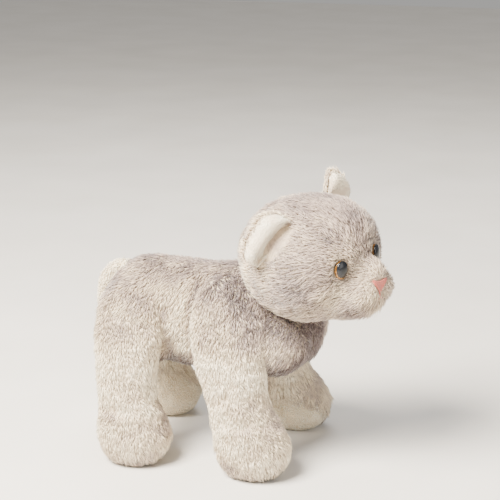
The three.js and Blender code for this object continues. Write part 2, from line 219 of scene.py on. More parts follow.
# How each ear lies, in the head's frame: the ends of its base, the way it grows, its height and its roll.
# pocket is how far from its base the hollow of the ear reaches, and with it the painted shade on its lining.
EARS = {
    "right": {
        "top": (8.5, -34, 30), "low": (-6.5, -49.5, 6), "way": (-0.7, -0.6, 0.42), "height": 17,
        "roll": 1.05, "lie": FOLDED, "front": EAR_FRONT, "pocket": 7,
    },
    "left": {
        "top": (1, 20.5, 38), "low": (4, 35, 30), "way": (-0.14, -0.02, 1), "height": 16.5,
        "roll": 0.8, "lie": UPRIGHT, "front": PLAIN_FRONT, "pocket": 0,
    },
}

# The camera, in degrees and millimetres.
CAMERA_AZIMUTH = 17.4
CAMERA_ELEVATION = 15
CAMERA_AWAY = 1000
FIELD = 336.5  # width of the view at that distance
SENSOR = 36
AIM = (10, 0, 95)
AIM_RIGHT = 13.3  # how far the middle of the view lies from AIM
AIM_UP = 41

SKY = (1.0, 0.98, 0.95, 1)
SKY_STRENGTH = 0.42
FLOOR_HALF = 3  # metres from its middle to a side
LAMP_AIM = (0, 0, 90)
# Soft boxes: name, azimuth, elevation, metres from the toy, metres across, watts, colour.
LAMPS = (
    ("key", -30, 50, 1.1, 0.55, 80, (1.0, 0.92, 0.79)), ("fill", 70, 20, 1.3, 0.9, 6, (1.0, 0.97, 0.92)),
    ("rim", 190, 50, 1.2, 0.7, 9, (1.0, 0.98, 0.95)),
)

# Plush tones, dark to pale, as they look in daylight (red, green, blue, 0 to 255).
PLUSH_TONES = (
    (112, 99, 98), (142, 126, 121), (167, 149, 140), (188, 170, 156), (205, 187, 167), (219, 202, 177),
    (233, 217, 190), (245, 231, 204), (254, 243, 219),
)
CREAM_TONES = ((226, 210, 180), (240, 226, 200), (249, 240, 219), (253, 248, 234))
# the mauve of an ear's hollow, darkened further as painted shade
POCKET_SHADE_TONES = ((170, 140, 128), (204, 178, 162))
PINK_TONES = ((176, 78, 68), (208, 104, 90), (230, 142, 122))
# Paler and darker patches of the pile: how much, where and how far each way. Some are painted shade: on the
# body the chest under the head, on the head the underside of the jaw.
BODY_PATCHES_AND_SHADE = (
    # the second patch is painted shade on the chest, under the head
    (-0.14, (36, -24, 110), (22, 26, 20)), (-0.9, (62, -9, 88), (25, 44, 30)),
    (-0.12, (-68, -10, 118), (8, 24, 14)),
)
BODY_STREAKS = ((1, (17, -19, 123), (9, 16, 11)), (1, (33, -38, 107), (9, 14, 11)))
HEAD_PATCHES_AND_SHADE = (
    (0.24, (48, 0, -8), (20, 24, 16)), (-0.24, (18, -42, -6), (18, 30, 16)),
    (-0.2, (26, -12, 30), (20, 24, 20)), (0.12, (0, -42, 12), (14, 20, 14)),
    # painted shade under the jaw
    (-0.22, (46, -10, -30), (14, 16, 7)),
)


# ---- places

def array(*rows):
    return np.array(rows, float)


NECK_TURN = next(joint for joint in frame["joints"] if joint["name"] == "neck_turn")
ORIGIN = np.array(NECK_TURN["pos_m"]) - array(*NECK) * MM
TURN = math.radians(HEAD_TURN)
HEAD_AXES = array(
    (math.cos(TURN), -math.sin(TURN), 0),
    (math.sin(TURN), math.cos(TURN), 0),
    (0, 0, 1),
)


def unit(vectors):
    """Vectors of length 1 along the last axis."""
    vectors = np.asarray(vectors, float)
    return vectors / np.maximum(np.linalg.norm(vectors, axis=-1, keepdims=True), 1e-12)


def place(points):
    """Toy millimetres to row frame metres."""
    return ORIGIN + np.asarray(points, float) * MM


def place_on_head(points):
    """Head millimetres to row frame metres."""
    return place(np.asarray(points, float) @ HEAD_AXES.T + array(*HEAD))


def toy(points):
    """Row frame metres to toy millimetres."""
    return (np.asarray(points, float) - ORIGIN) / MM


def on_head(points):
    """Row frame metres to head millimetres."""
    return (toy(points) - array(*HEAD)) @ HEAD_AXES


def along(way):
    """A direction in the head's frame, in the row frame."""
    return np.asarray(way, float) @ HEAD_AXES.T


def skull_normal(way):
    """The way that the skull faces where a line from the head's middle along way meets it."""
    share = np.abs(way) / array(*SKULL)
    reach = (share ** SKULL_SQUARE).sum() ** (-1 / SKULL_SQUARE)
    return unit(np.sign(way) * (share * reach) ** (SKULL_SQUARE - 1) / array(*SKULL))


# ---- camera and light

def view_axes(azimuth, elevation):
    """Right, up and back directions of a camera that looks from this azimuth and elevation."""
    a, e = math.radians(azimuth), math.radians(elevation)
    back = array(math.sin(a) * math.cos(e), -math.cos(a) * math.cos(e), math.sin(e))
    right = array(math.cos(a), math.sin(a), 0)
    return right, np.cross(back, right), back


def face_along(thing, back, at):
    """Puts a camera or lamp at a point, looking against back."""
    thing.location = Vector(at)
    thing.rotation_euler = Vector(back).to_track_quat("Z", "Y").to_euler()


def make_camera():
    right, up, back = view_axes(CAMERA_AZIMUTH, CAMERA_ELEVATION)
    aim = array(*AIM) + AIM_RIGHT * right + AIM_UP * up
    data = bpy.data.cameras.new("camera")
    data.sensor_width = SENSOR
    data.lens = SENSOR * CAMERA_AWAY / FIELD
    camera = bpy.data.objects.new("camera", data)
    bpy.context.scene.collection.objects.link(camera)
    face_along(camera, back, place(aim + CAMERA_AWAY * back))
    bpy.context.scene.camera = camera


def make_lamp(name, azimuth, elevation, away, size, power, colour):
    """A square soft box that looks at the middle of the toy."""
    data = bpy.data.lights.new(name, "AREA")
    data.shape = "SQUARE"
    data.size = size
    data.energy = power
    data.color = colour
    lamp = bpy.data.objects.new(name, data)
    bpy.context.scene.collection.objects.link(lamp)
    back = view_axes(azimuth, elevation)[2]
    face_along(lamp, back, place(LAMP_AIM) + back * away)


def make_room():
    """Soft daylight and a plain pale floor."""
    world = bpy.data.worlds.new("daylight")
    bpy.context.scene.world = world
    world.use_nodes = True
    sky = world.node_tree.nodes["Background"]
    sky.inputs["Color"].default_value = SKY
    sky.inputs["Strength"].default_value = SKY_STRENGTH
    for lamp in LAMPS:
        make_lamp(*lamp)
    corners = array((-1, -1, 0), (1, -1, 0), (1, 1, 0), (-1, 1, 0)) * FLOOR_HALF
    floor = mesh_object("floor", corners, [(0, 1, 2, 3)])
    floor.data.materials.append(floor_paint())
    floor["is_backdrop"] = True


# ---- materials

def linear(colour, alpha=1.0):
    """A daylight colour, 0 to 255, as the linear light that a shader takes."""
    share = np.asarray(colour, float) / 255
    value = np.where(share <= 0.04045, share / 12.92, ((share + 0.055) / 1.055) ** 2.4)
    return (*value, alpha)


class Paint:
    """A material and short ways to add nodes to it."""

    def __init__(self, name):
        self.material = bpy.data.materials.new(name)
        self.material.use_nodes = True
        self.tree = self.material.node_tree
        self.shader = self.tree.nodes["Principled BSDF"]
        self.place = self.add("TexCoord").outputs["Object"]

    def put(self, value, socket):
        """Gives a socket a plain value or another node's output."""
        if isinstance(value, bpy.types.NodeSocket):
            self.tree.links.new(value, socket)
        else:
            socket.default_value = value

    def add(self, kind, inputs=None, **settings):
        """A new node with these settings and inputs."""
        node = self.tree.nodes.new("ShaderNode" + kind)
        for key, value in settings.items():
            setattr(node, key, value)
        for key, value in (inputs or {}).items():
            self.put(value, node.inputs[key])
        return node

    def stretched(self, scale):
        """Coordinates squeezed by a factor on each axis, which draws a pattern out along the smallest."""
        return self.add("Mapping", {"Scale": scale, "Vector": self.place}).outputs["Vector"]

    def noise(self, scale, detail=3.0, vector=None, roughness=0.5):
        """Cloudy noise, with patches about 1/scale metres across."""
        inputs = {"Scale": scale, "Detail": detail, "Roughness": roughness, "Vector": vector or self.place}
        return self.add("TexNoise", inputs).outputs["Fac"]

    def ramp(self, source, stops):
        """A colour for each value of source. stops are (value, colour)."""
        node = self.add("ValToRGB", {"Fac": source})
        points = node.color_ramp.elements
        for number, (value, colour) in enumerate(stops):
            point = points[number] if number < 2 else points.new(value)
            point.position = value
            point.color = colour
        return node.outputs["Color"]

    def tones(self, source, *stops):
        """A ramp of daylight colours."""
        return self.ramp(source, [(value, linear(colour)) for value, colour in stops])

    def shaded(self, share, base, shade):
        """A colour multiplied by another, as far as share says."""
        inputs = {0: share, 6: base, 7: shade}
        return self.add("Mix", inputs, data_type="RGBA", blend_type="MULTIPLY").outputs[2]

    def rough(self, source, low, high):
        """Roughness from low to high where source goes from 0 to 1."""
        node = self.add("MapRange", {"To Min": low, "To Max": high, "Value": source})
        self.put(node.outputs["Result"], self.shader.inputs["Roughness"])

    def bump(self, source, height, strength=1.0):
        """Relief of this height in millimetres."""
        node = self.add("Bump", {"Distance": height * MM, "Strength": strength, "Height": source})
        self.put(node.outputs["Normal"], self.shader.inputs["Normal"])

    def finish(self, colour, **sockets):
        """Sets the colour, a node's output or a plain value, and numbers on the shader's own sockets."""
        self.put(colour, self.shader.inputs["Base Color"])
        for name, value in sockets.items():
            self.shader.inputs[name.replace("_", " ")].default_value = value
        return self.material


def floor_paint():
    paint = Paint("floor_paint")
    cloud = paint.noise(9, 4)
    paint.rough(cloud, 0.6, 0.8)
    colour = paint.tones(cloud, (0.3, (226, 223, 218)), (0.7, (233, 230, 226)))
    return paint.finish(colour)


def strand_paint(name, colour):
    """One tone of pile: soft fibres with a grain along and across them."""
    paint = Paint(name)
    grain = paint.noise(2600, 2)
    paint.rough(grain, 0.55, 0.8)
    paint.bump(grain, 0.05, 0.4)
    return paint.finish(linear(colour), Sheen_Weight=0.35, Sheen_Roughness=0.4, Specular_IOR_Level=0.25)


def plush_paint():
    """The knitted backing and roots of the grey plush: patches of lilac, grey and cream, finely streaked."""
    paint = Paint("plush_backing")
    clouds = paint.noise(55, 4)
    streaks = paint.noise(900, 3, paint.stretched((1, 1, 0.25)))
    base = paint.tones(clouds, (0.3, PLUSH_TONES[3]), (0.5, PLUSH_TONES[5]), (0.7, PLUSH_TONES[6]))
    shade = paint.ramp(streaks, [(0.3, (0.62, 0.6, 0.6, 1)), (0.65, (1, 1, 1, 1))])
    paint.rough(streaks, 0.7, 0.95)
    paint.bump(streaks, 0.5)
    return paint.finish(paint.shaded(0.8, base, shade), Sheen_Weight=0.3, Specular_IOR_Level=0.2)


def velour_paint(name, shadow, middle, light):
    """Cream velour: a very short nap, brushed in faint patches."""
    paint = Paint(name)
    brushed = paint.noise(120, 3)
    nap = paint.noise(2200, 2)
    base = paint.tones(brushed, (0.3, shadow), (0.52, middle), (0.72, light))
    speck = paint.ramp(nap, [(0.3, (0.8, 0.78, 0.75, 1)), (0.6, (1, 1, 1, 1))])
    paint.rough(nap, 0.6, 0.85)
    paint.bump(nap, 0.3, 0.7)
    return paint.finish(paint.shaded(0.6, base, speck), Sheen_Weight=0.5, Specular_IOR_Level=0.2)


def amber_paint():
    """Amber plastic, darker in streaks, under a clear gloss."""
    paint = Paint("amber_eye_plastic")
    streaks = paint.noise(900, 3)
    scuffs = paint.noise(5000, 2)
    colour = paint.tones(streaks, (0.3, (92, 56, 12)), (0.55, (146, 98, 32)), (0.8, (196, 152, 78)))
    paint.rough(scuffs, 0.06, 0.2)
    paint.bump(streaks, 0.03, 0.5)
    return paint.finish(colour, Coat_Weight=0.8, Coat_Roughness=0.04)


def black_paint():
    """Black plastic with a polish and faint scuffs."""
    paint = Paint("pupil_plastic")
    scuffs = paint.noise(3500, 2)
    cloud = paint.noise(400, 2)
    colour = paint.tones(cloud, (0.3, (14, 16, 20)), (0.7, (30, 33, 40)))
    paint.rough(scuffs, 0.1, 0.22)
    paint.bump(scuffs, 0.01, 0.3)
    return paint.finish(colour, Coat_Weight=0.3, Coat_Roughness=0.05, Specular_IOR_Level=0.35)


def thread_paint(name, tones):
    """Satin thread: bright and dark fibres along the stitches."""
    paint = Paint(name)
    fibres = paint.noise(4200, 2, paint.stretched((0.35, 1, 1)))
    colour = paint.tones(fibres, *zip((0.25, 0.5, 0.75), tones))
    paint.rough(fibres, 0.3, 0.55)
    paint.bump(fibres, 0.08, 0.6)
    return paint.finish(colour, Sheen_Weight=0.25)


def filling_paint():
    """White polyester fibre."""
    paint = Paint("fibre_filling")
    fibres = paint.noise(700, 5, roughness=0.7)
    colour = paint.tones(fibres, (0.3, (205, 203, 198)), (0.7, (244, 243, 240)))
    paint.rough(fibres, 0.8, 1.0)
    paint.bump(fibres, 1.0)
    return paint.finish(colour, Sheen_Weight=0.4)


def pellet_paint():
    """Small plastic pellets under a thin bag."""
    paint = Paint("pellet_bag")
    distance = paint.add("TexVoronoi", {"Scale": 420, "Vector": paint.place}).outputs["Distance"]
    colour = paint.tones(distance, (0.0, (232, 230, 224)), (0.7, (182, 178, 170)))
    paint.rough(distance, 0.3, 0.7)
    paint.bump(distance, 0.8)
    return paint.finish(colour)


def washer_paint():
    """Dull white washers behind the eyes."""
    paint = Paint("washer_plastic")
    scuffs = paint.noise(1500, 3)
    colour = paint.tones(scuffs, (0.3, (196, 194, 188)), (0.7, (222, 220, 214)))
    paint.rough(scuffs, 0.35, 0.6)
    paint.bump(scuffs, 0.05)
    return paint.finish(colour)


# ---- meshes

def mesh_object(name, points, faces):
    """An object from points in the row frame. faces is a list of index rows, or an array of triangles."""
    mesh = bpy.data.meshes.new(name)
    if isinstance(faces, np.ndarray):
        mesh.vertices.add(len(points))
        mesh.vertices.foreach_set("co", np.asarray(points, np.float32).ravel())
        mesh.loops.add(faces.size)
        mesh.loops.foreach_set("vertex_index", faces.astype(np.int32).ravel())
        mesh.polygons.add(len(faces))
        mesh.polygons.foreach_set("loop_start", np.arange(len(faces), dtype=np.int32) * faces.shape[1])
    else:
        mesh.from_pydata([tuple(point) for point in points], [], [tuple(face) for face in faces])
    mesh.update(calc_edges=True)
    thing = bpy.data.objects.new(name, mesh)
    bpy.context.scene.collection.objects.link(thing)
    return thing


def points_of(thing, kind="co"):
    """The object's points, in metres. The kind "normal" gives the ways that its skin faces there."""
    values = np.empty(len(thing.data.vertices) * 3, np.float32)
    thing.data.vertices.foreach_get(kind, values)
    return values.reshape(-1, 3).astype(float)


def skin_of(thing):
    """The object's points and the ways that its skin faces there."""
    return points_of(thing), points_of(thing, "normal")


def move_points(thing, points):
    thing.data.vertices.foreach_set("co", np.asarray(points, np.float32).ravel())
    thing.data.update()


def apply_modifiers(thing):
    """Makes the object's modifiers part of its mesh."""
    graph = bpy.context.evaluated_depsgraph_get()
    final = bpy.data.meshes.new_from_object(thing.evaluated_get(graph))
    thing.modifiers.clear()
    thing.data = final


def grid_faces(rows, columns, wrap=True, first=0):
    """Quads between rows of points. wrap joins each row's ends."""
    faces = []
    for row in range(rows - 1):
        for column in range(columns if wrap else columns - 1):
            here = first + row * columns + column
            beside = first + row * columns + (column + 1) % columns
            faces.append((here, beside, beside + columns, here + columns))
    return faces


def ball(centre, size, square=2.0, rings=20, turns=36):
    """A squarish ball: rings of points and faces that close it."""
    rows = []
    for ring in range(1, rings):
        tilt = math.pi * ring / rings
        row = []
        for turn in range(turns):
            angle = 2 * math.pi * turn / turns
            way = array(math.sin(tilt) * math.cos(angle), math.sin(tilt) * math.sin(angle), -math.cos(tilt))
            reach = (np.abs(way) ** square).sum() ** (-1 / square)
            row.append(array(*centre) + way * reach * array(*size))
        rows.append(row)
    return loft(rows)


def loft(rings):
    """A closed skin over rings of points, each with the same number of points."""
    count = len(rings[0])
    faces = grid_faces(len(rings), count)
    faces.append(tuple(reversed(range(count))))
    faces.append(tuple(range((len(rings) - 1) * count, len(rings) * count)))
    return np.vstack(rings), faces


def oval_ring(centre, half_a, half_b, way_a, way_b, square=2.0, turns=32):
    """A ring of points around centre, half_a and half_b from it along the two ways."""
    ring = []
    for turn in range(turns):
        angle = 2 * math.pi * turn / turns
        c, s = math.cos(angle), math.sin(angle)
        reach = (abs(c) ** square + abs(s) ** square) ** (-1 / square)
        ring.append(array(*centre) + reach * (c * half_a * array(*way_a) + s * half_b * array(*way_b)))
    return np.array(ring)


def placed(shape, to=place):
    """A shape in millimetres, in the row frame."""
    points, faces = shape
    return to(points), faces


def merged(name, shapes):
    """One object holding several closed shapes, (points, faces) each, with points in the row frame."""
    points, faces, start = [], [], 0
    for shape_points, shape_faces in shapes:
        points.append(shape_points)
        faces += [tuple(start + index for index in face) for face in shape_faces]
        start += len(shape_points)
    return mesh_object(name, np.vstack(points), faces)


def fuse(thing, voxel, smoothing=0):
    """Joins overlapping closed shapes to one skin of voxel millimetres, and evens out its creases."""
    remesh = thing.modifiers.new("remesh", "REMESH")
    remesh.mode = "VOXEL"
    remesh.voxel_size = voxel * MM
    if smoothing:
        smooth = thing.modifiers.new("smooth", "SMOOTH")
        smooth.factor = 0.5
        smooth.iterations = smoothing
    apply_modifiers(thing)


def plump(thing, voxel, reach):
    """Fills a skin as stuffing does: cloth blown up, with no point moving further than reach millimetres."""
    fuse(thing, voxel)
    start = points_of(thing)
    cloth = thing.modifiers.new("cloth", "CLOTH")
    cloth.settings.use_pressure = True
    cloth.settings.uniform_pressure_force = PRESSURE
    cloth.settings.effector_weights.gravity = 0
    for number in range(1, CLOTH_FRAMES + 1):
        bpy.context.scene.frame_set(number)
    graph = bpy.context.evaluated_depsgraph_get()
    step = points_of(thing.evaluated_get(graph)) - start
    thing.modifiers.clear()
    bpy.context.scene.frame_set(1)
    far = np.linalg.norm(step, axis=1, keepdims=True)
    move_points(thing, start + step * np.minimum(1, reach * MM / np.maximum(far, 1e-9)))


def thicken(thing, thickness, offset):
    """Makes a sheet a closed skin. offset is 0 for both sides of the sheet and -1 for under it."""
    solidify = thing.modifiers.new("thickness", "SOLIDIFY")
    solidify.thickness = thickness * MM
    solidify.offset = offset
    apply_modifiers(thing)
    return thing


def subdivide(thing, levels):
    modifier = thing.modifiers.new("subdivision", "SUBSURF")
    modifier.levels = levels
    modifier.render_levels = levels
    apply_modifiers(thing)


def painted(thing, *paints):
    """The object with these materials and smooth shading."""
    for paint in paints:
        thing.data.materials.append(paint)
    thing.data.polygons.foreach_set("use_smooth", np.ones(len(thing.data.polygons), bool))
    return thing


def sew(thing, line, depth, width):
    """A seam or fold: draws the skin in along a line of points, by depth at the line and less beside it."""
    points, normals = skin_of(thing)
    nearest = np.full(len(points), np.inf)
    for start, end in zip(line[:-1], line[1:]):
        run = end - start
        share = np.clip((points - start) @ run / (run @ run), 0, 1)
        nearest = np.minimum(nearest, np.linalg.norm(points - start - share[:, None] * run, axis=1))
    pull = depth * MM * np.exp(-((nearest / (width * MM)) ** 2))
    move_points(thing, points - normals * pull[:, None])


def stand(thing):
    """Flattens what would go under the floor."""
    points = points_of(thing)
    points[:, 2] = np.maximum(points[:, 2], FLOOR_GAP * MM)
    move_points(thing, points)


def cloudy(points, patch, seed):
    """Smooth noise, 0 to 1, with patches of that many millimetres."""
    lattice = np.random.default_rng(seed).random((32, 32, 32))
    where = np.asarray(points) / patch + 500
    cell = np.floor(where).astype(int)
    part = where - cell
    part = part * part * (3 - 2 * part)
    total = np.zeros(len(where))
    for corner in range(8):
        step = array(corner & 1, corner >> 1 & 1, corner >> 2 & 1).astype(int)
        weight = np.prod(np.where(step == 1, part, 1 - part), axis=1)
        index = (cell + step) % 32
        total += weight * lattice[index[:, 0], index[:, 1], index[:, 2]]
    return total


def streaky(points, flow, patch, draw, seed):
    """Noise drawn out along the flow, as brushed pile is."""
    flow = unit(flow)
    side = unit(np.cross(flow, (0.3, 0.5, 0.8)))
    axes = (side, unit(np.cross(flow, side)), flow / draw)
    return cloudy(np.stack([(points * axis).sum(1) for axis in axes], 1), patch, seed)


# ---- pile

def roots_on(skin, spacing, rng):
    """Points spread evenly over a skin, about spacing millimetres apart, with their normals."""
    mesh = skin.data
    mesh.calc_loop_triangles()
    corners = np.empty(len(mesh.loop_triangles) * 3, np.int32)
    mesh.loop_triangles.foreach_get("vertices", corners)
    corners = corners.reshape(-1, 3)
    points, normals = skin_of(skin)
    a, b, c = points[corners[:, 0]], points[corners[:, 1]], points[corners[:, 2]]
    reach = np.cumsum(np.linalg.norm(np.cross(b - a, c - a), axis=1) / 2)
    count = int(reach[-1] / (spacing * MM) ** 2)
    picks = (np.arange(count) + rng.random(count)) / count * reach[-1]
    chosen = np.minimum(np.searchsorted(reach, picks), len(corners) - 1)
    u, v = rng.random(count), rng.random(count)
    over = u + v > 1
    u[over], v[over] = 1 - u[over], 1 - v[over]
    share = np.stack([1 - u - v, u, v], 1)[:, :, None]
    return (points[corners[chosen]] * share).sum(1), unit((normals[corners[chosen]] * share).sum(1))


def spindles(roots, normals, lean, length, width, rise):
    """Tufts as closed spindles: a root in the skin, a three-cornered middle with a ridge, and a tip.

    Returns their points, five for each tuft, and their faces, six for each.
    """
    side = unit(np.cross(normals, lean))
    size = (length * MM)[:, None]
    half = (width * MM / 2)[:, None]
    steep = np.sin(rise)[:, None] * normals + np.cos(rise)[:, None] * lean
    flat = np.sin(rise * 0.35)[:, None] * normals + np.cos(rise * 0.35)[:, None] * lean
    middle = roots + steep * size * 0.4
    tip = middle + flat * size * 0.6
    ridge = middle + normals * half * 0.8
    rows = [roots - normals * 0.8 * MM, middle + side * half, middle - side * half, ridge, tip]
    points = np.stack(rows, 1).reshape(-1, 3)
    root, left, right, top, end = range(5)
    pattern = np.array([
        (root, top, left), (root, right, top), (root, left, right),
        (end, left, top), (end, top, right), (end, right, left),
    ])
    faces = (np.arange(len(roots)) * 5)[:, None, None] + pattern[None]
    return points, faces.reshape(-1, 3)


def tufts(name, roots, normals, look, materials, rng):
    """The mesh of one coat. Each tuft's root is a little darker than its tip. None goes under the floor."""
    keep = look["keep"]
    roots, normals = roots[keep], normals[keep]
    lean = look["lean"][keep]
    lean = unit(lean - (lean * normals).sum(1)[:, None] * normals)
    lean = unit(lean + rng.normal(0, look["ruffle"], lean.shape))
    lean = unit(lean - (lean * normals).sum(1)[:, None] * normals)
    length, width, rise = look["length"][keep], look["width"][keep], look["rise"][keep]
    tone = look["tone"][keep] * (len(materials) - 1)
    points, faces = spindles(roots, normals, lean, length, width, rise)
    points[4::5, 2] = np.maximum(points[4::5, 2], FLOOR_GAP * MM)
    clear = points[:, 2].reshape(-1, 5)[:, 1:].min(axis=1) > 0.75 * FLOOR_GAP * MM
    points = points.reshape(-1, 5, 3)[clear].reshape(-1, 3)
    faces = faces[:clear.sum() * 6]
    tone = tone[clear]
    thing = mesh_object(name, points, faces)
    tip = np.clip(np.round(tone), 0, len(materials) - 1)
    base = np.clip(np.round(tone - ROOT_SHADE), 0, len(materials) - 1)
    index = np.repeat(np.stack([base, tip], 1), 3, axis=1).reshape(-1)
    thing.data.polygons.foreach_set("material_index", index.astype(np.int32))
    return painted(thing, *materials)


def pile(points, rng, lean, tone, length=PILE, width=PILE_WIDTH, rise=21, ruffle=0.1, clump_shading=1.0, keep=None):
    """What each tuft of a coat looks like, from its lean, tone (0 dark, 1 pale) and sizes.

    rise is its slope in degrees. Tufts gather in bunches, with painted light and shade: the proud ones are
    painted pale as if lit and the low ones dark as if shaded.
    """
    count = len(points)
    at = toy(points)
    wave = np.stack([cloudy(at, 6, seed) + 0.6 * cloudy(at, 2.5, seed + 3) - 0.8 for seed in (50, 51, 52)], 1)
    lean = unit(lean) + 0.8 * wave
    clump = 0.6 * streaky(at, lean, 2.1, 4, 40) + 0.4 * cloudy(at, 4.5, 41) - 0.5
    return {
        "lean": lean,
        # painted light on the proud tufts of a clump and painted shade on the low ones
        "tone": np.clip(tone + 0.75 * clump_shading * clump + rng.normal(0, 0.035, count), 0, 1),
        "length": length * np.clip(1 + 0.5 * clump + rng.normal(0, 0.14, count), 0.6, 1.4),
        "width": width * np.clip(1 + rng.normal(0, 0.18, count), 0.6, 1.5),
        "rise": np.radians(rise * np.clip(1 + 1.7 * clump + rng.normal(0, 0.2, count), 0.25, 2)),
        "ruffle": ruffle,
        "keep": np.ones(count, bool) if keep is None else keep,
    }


def coat(name, skin, style, materials, seed, spacing):
    """Grows pile on a skin. style(roots, normals, rng) says what each tuft looks like."""
    rng = np.random.default_rng(SEED + seed)
    roots, normals = roots_on(skin, spacing, rng)
    return tufts(name, roots, normals, style(roots, normals, rng), materials, rng)


def finish_pieces(body, slot, fill, *pieces):
    """Attaches pieces to a body. slot, what they are made of, and fill, how full of stuffing they are, are
    not used.
    """
    for piece in pieces:
        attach(piece, body)


# ---- torso and neck

def near(points, centre, reach):
    """1 at a point and less away from it, falling off over reach millimetres."""
    return np.exp(-((np.linalg.norm((points - array(*centre)) / array(*reach), axis=1)) ** 2))


def patches(points, table):
    """The change of tone that a table of patches gives each point."""
    return sum(share * near(points, centre, reach) for share, centre, reach in table)


def make_torso():
    rings = []
    for x, z, width, height in TORSO:
        half_y, half_z = width - PILE_ROOM, height - PILE_ROOM
        rings.append(place(oval_ring((x, 0, z), half_y, half_z, (0, 1, 0), (0, 0, 1), TORSO_SQUARE)))
    shapes = [loft(rings)]
    for (x, y, z), size in TORSO_LUMPS:
        shapes += [placed(ball((x, side * y, z), array(*size) - PILE_ROOM)) for side in (-1, 1)]
    skin = merged("torso_plush", shapes)
    fuse(skin, voxel=2.5, smoothing=12)
    plump(skin, voxel=5, reach=2.5)
    subdivide(skin, levels=2)
    for fold, depth, width in ((BELLY_SEAM, 1.2, 3), (SHOULDER_FOLD, 3.5, 4.5), (HAUNCH_FOLD, 2, 4.5)):
        for side in (1, -1):
            sew(skin, place(array(*fold) * array(1, side, 1)), depth, width)
    return skin


def past(at, fold):
    """How far points are in front of a fold, seen from the side. Above and below it they are far off."""
    x, _, z = array(*fold)[::-1].T
    beside = (at[:, 2] > z[0] - 4) & (at[:, 2] < z[-1] + 2)
    return np.where(beside, at[:, 0] - np.interp(at[:, 2], z, x), 99)


def crease(gap, width):
    """1 in the middle of a crease and less beside it."""
    return np.exp(-((gap / width) ** 2))


def body_tone(at, normals):
    """Pale sides, a greyer back, painted shade on the belly and on the chest under the head, and dark patches
    on the nape.
    """
    tone = 0.84 + 0.5 * (cloudy(at, 13, 1) - 0.5)
    # darker where the pile faces up, and painted shade where it faces down
    tone -= 0.66 * np.clip(normals[:, 2], 0, 1) + 0.65 * np.clip(-normals[:, 2], 0, 1)
    tone += patches(at, BODY_PATCHES_AND_SHADE)
    streaked = streaky(at, array(-0.4, 0, -1), 2.0, 6, 3) > 0.55
    return tone - patches(at, BODY_STREAKS) * np.where(streaked, 0.56, 0.2)


def torso_style(points, normals, rng):
    at = toy(points)
    lean = array(-0.45, 0, -1) + normals * array(0, 0.5, 0)
    tone = body_tone(at, normals)
    # painted shade in the folds behind the shoulder and in front of the haunch, and low on the belly
    tone -= 0.4 * crease(past(at, SHOULDER_FOLD) + 1.5, 2.6)
    tone -= 0.3 * crease(past(at, HAUNCH_FOLD) - 1, 3.5)
    tone -= 0.3 * np.clip((77 - at[:, 2]) / 6, 0, 1)
    return pile(points, rng, lean, tone)


def make_neck():
    shape = ball(NECK, array(*NECK_BALL) - PILE_ROOM, rings=18, turns=32)
    skin = merged("neck_plush", [placed(shape)])
    plump(skin, voxel=4, reach=1)
    subdivide(skin, levels=1)
    return skin


def neck_style(points, normals, rng):
    # dark all over: painted shade under the head
    tone = 0.2 + 0.3 * (cloudy(toy(points), 9, 4) - 0.5)
    return pile(points, rng, array(-0.3, 0, -1), tone)


# ---- legs and soles

def leg_side(name):
    return SIDES[name.split("_")[1]]


def leg_x(name):
    return HIPS[name.split("_")[0]]


def sole_depth(name, points):
    """How far points are beyond the seam of the sole, in millimetres. The sole looks down and inwards."""
    side = leg_side(name)
    paw = array(leg_x(name) + STANCE[name], side * PAW_Y, PAW_Z)
    forwards, inwards, down = SOLE_WAY[name]
    return (toy(points) - paw) @ unit(array(forwards, -side * inwards, -down)) - SOLE_SEAM[name]


def make_leg(name):
    side, hip = leg_side(name), leg_x(name)
    top = SHOULDER if name.startswith("front") else HAUNCH
    rings = []
    for z, share, y, half_length, half_width in LEG + top:
        ankle = crease(z - ANKLE_Z, ANKLE_SPAN)
        centre = (hip + share * STANCE[name] - ankle * ANKLE_BACK[name], side * y, z)
        half_length *= 1 - ankle * ANKLE_SLIM[name.split("_")[0]]
        square = SHOULDER_SQUARE if z > SHOULDER_Z and top is SHOULDER else LEG_SQUARE
        half_x, half_y = half_length - PILE_ROOM, half_width - PILE_ROOM
        rings.append(place(oval_ring(centre, half_x, half_y, (1, 0, 0), (0, 1, 0), square)))
    skin = merged("leg_" + name + "_plush", [loft(rings)])
    plump(skin, voxel=4, reach=2)
    subdivide(skin, levels=2)
    for height in FOLDS[name.split("_")[0]]:
        fold = array(*LEG_FOLD) * array(1, side, 1) + array(hip + STANCE[name], side * PAW_Y, height)
        sew(skin, place(fold), depth=1.7, width=3.8)
    if name == "front_right":
        sew(skin, place(ARM_CREASE), depth=3, width=3)
    stand(skin)
    return skin


def leg_style(name):
    def style(points, normals, rng):
        at = toy(points)
        lean = array(0.12, 0, -1) + normals * array(0.35, 0.2, 0)
        tone = body_tone(at, normals) + 0.14 * np.clip((95 - at[:, 2]) / 25, 0, 1)
        for height in FOLDS[name.split("_")[0]]:
            # painted shade along each fold
            tone -= 0.13 * crease(at[:, 2] - height - 8 * cloudy(at, 11, 15) + 3, 2.5)
        if name.startswith("front"):
            # a painted highlight on the shoulder's edge and painted shade in the crease behind it
            tone += 0.14 * crease(past(at, SHOULDER_FOLD) - 6, 4)
            tone -= 0.35 * crease(past(at, SHOULDER_FOLD), 1.8)
        else:
            # painted shade in the crease in front of the haunch
            tone -= 0.3 * crease(past(at, HAUNCH_FOLD), 3)
        if name == "front_right":
            # painted shade in the crease down the front of the foreleg
            tone -= 0.3 * near(at, (42, -58, 64), (3, 12, 14))
        if name == "hind_left":
            tone += 0.2
        # darker towards the paw, and painted shade on the inner side, between the legs
        tone -= 0.2 * np.clip((42 - at[:, 2]) / 16, 0, 1)
        tone -= 0.1 * np.clip(-leg_side(name) * normals[:, 1], 0, 1)
        return pile(points, rng, lean, tone, keep=sole_depth(name, points) < 0.6)
    return style


